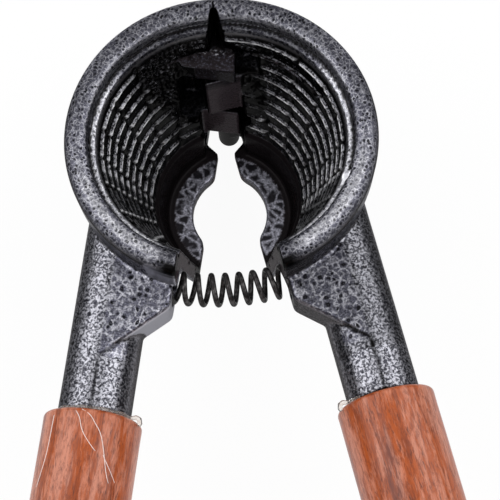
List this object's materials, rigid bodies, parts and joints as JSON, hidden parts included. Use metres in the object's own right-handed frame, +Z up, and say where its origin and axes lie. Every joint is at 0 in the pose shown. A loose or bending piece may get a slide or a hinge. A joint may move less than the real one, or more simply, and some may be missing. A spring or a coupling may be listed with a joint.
{
  "type": "funnel nutcracker",
  "caption": "Hand nutcracker: a stepped funnel split into hinged halves, each with an arm and a wooden grip, held open by a coil spring.",
  "frame": {"origin": "centre of the bounding box, on the plane through the lowest point, the lower end of the hinge pin", "axes": "+Z up out of the funnel's mouth along the hinge pin, +Y from the grips towards the hinge, +X to the right half"},
  "size_m": [0.1148, 0.1888, 0.053],
  "materials": {
    "hammertone_left": "black and silver hammertone lacquer on cast iron",
    "hammertone_right": "black and silver hammertone lacquer on cast iron",
    "dark_pin": "blackened steel",
    "black_wire": "blackened spring wire",
    "wood_left": "red brown gloss lacquer",
    "wood_right": "red brown gloss lacquer",
    "glue_left": "clear set glue",
    "glue_right": "clear set glue"
  },
  "bodies": {
    "left_half": {"left_jaw": "hammertone_left", "hinge_pin": "dark_pin", "return_spring": "black_wire", "left_grip": "wood_left", "left_glue": "glue_left"},
    "right_half": {"right_jaw": "hammertone_right", "right_grip": "wood_right", "right_glue": "glue_right"}
  },
  "joints": [
    {"name": "jaw_hinge", "type": "hinge", "parent": "left_half", "child": "right_half", "pos_m": [0, 0.0864, 0.02], "axis": [0, 0, -1], "range_deg": [0, 23.2], "stiffness_Nm_per_rad": 0.75, "springref_deg": -17.19, "deforming": ["return_spring"]}
  ]
}
